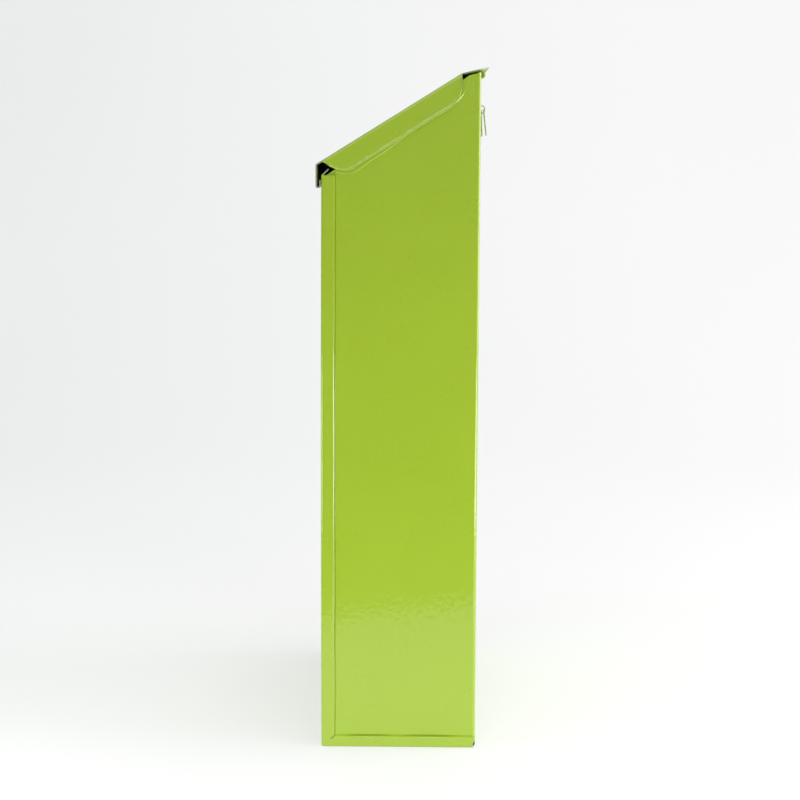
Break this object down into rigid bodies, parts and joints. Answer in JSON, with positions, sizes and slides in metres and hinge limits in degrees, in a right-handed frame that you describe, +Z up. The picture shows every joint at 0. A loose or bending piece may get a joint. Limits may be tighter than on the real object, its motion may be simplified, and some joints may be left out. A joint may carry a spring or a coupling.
{
  "type": "mailbox",
  "caption": "Tall narrow wall mailbox of painted sheet steel with a sloping hinged lid, a cam lock and keys hung on the back.",
  "frame": {"origin": "middle of the underside of the case", "axes": "+Z up, the front faces -Y, the wall side faces +Y, the width runs along X"},
  "size_m": [0.2524, 0.1089, 0.4402],
  "materials": {
    "green_paint": "glossy powder coat",
    "zinc_steel": "zinc plated",
    "nickel": "dull nickel plate"
  },
  "bodies": {
    "box": {"case": "green_paint", "tray": "green_paint", "hinge_rod": "zinc_steel", "lock_body": "nickel", "lock_washer": "zinc_steel", "lock_nut": "zinc_steel"},
    "lid": {"lid": "green_paint", "lid_hinge_leaf": "green_paint", "lid_catch": "green_paint"},
    "lock_turn": {"lock_plug": "nickel", "lock_cam": "zinc_steel", "cam_screw": "zinc_steel"},
    "ring": {"key_ring": "nickel"},
    "inner_key": {"key_inner": "nickel"},
    "outer_key": {"key_outer": "nickel"}
  },
  "joints": [
    {"name": "lid_hinge", "type": "hinge", "parent": "box", "child": "lid", "pos_m": [0, 0.0513, 0.43569], "axis": [-1, 0, 0], "range_deg": [0, 110]},
    {"name": "lock_turn_hinge", "type": "hinge", "parent": "box", "child": "lock_turn", "pos_m": [0, -0.0333, 0.351], "axis": [0, -1, 0], "range_deg": [0, 90]},
    {"name": "ring_swing", "type": "hinge", "parent": "box", "child": "ring", "pos_m": [0.1, 0.04955, 0.4141], "axis": [1, 0, 0], "range_deg": [-1, 8]},
    {"name": "inner_key_swing", "type": "hinge", "parent": "ring", "child": "inner_key", "pos_m": [0.1, 0.051, 0.4117], "axis": [1, 0, 0], "range_deg": [-1.5, 4]},
    {"name": "outer_key_swing", "type": "hinge", "parent": "ring", "child": "outer_key", "pos_m": [0.1, 0.0525, 0.4121], "axis": [1, 0, 0], "range_deg": [-5, 7]}
  ]
}
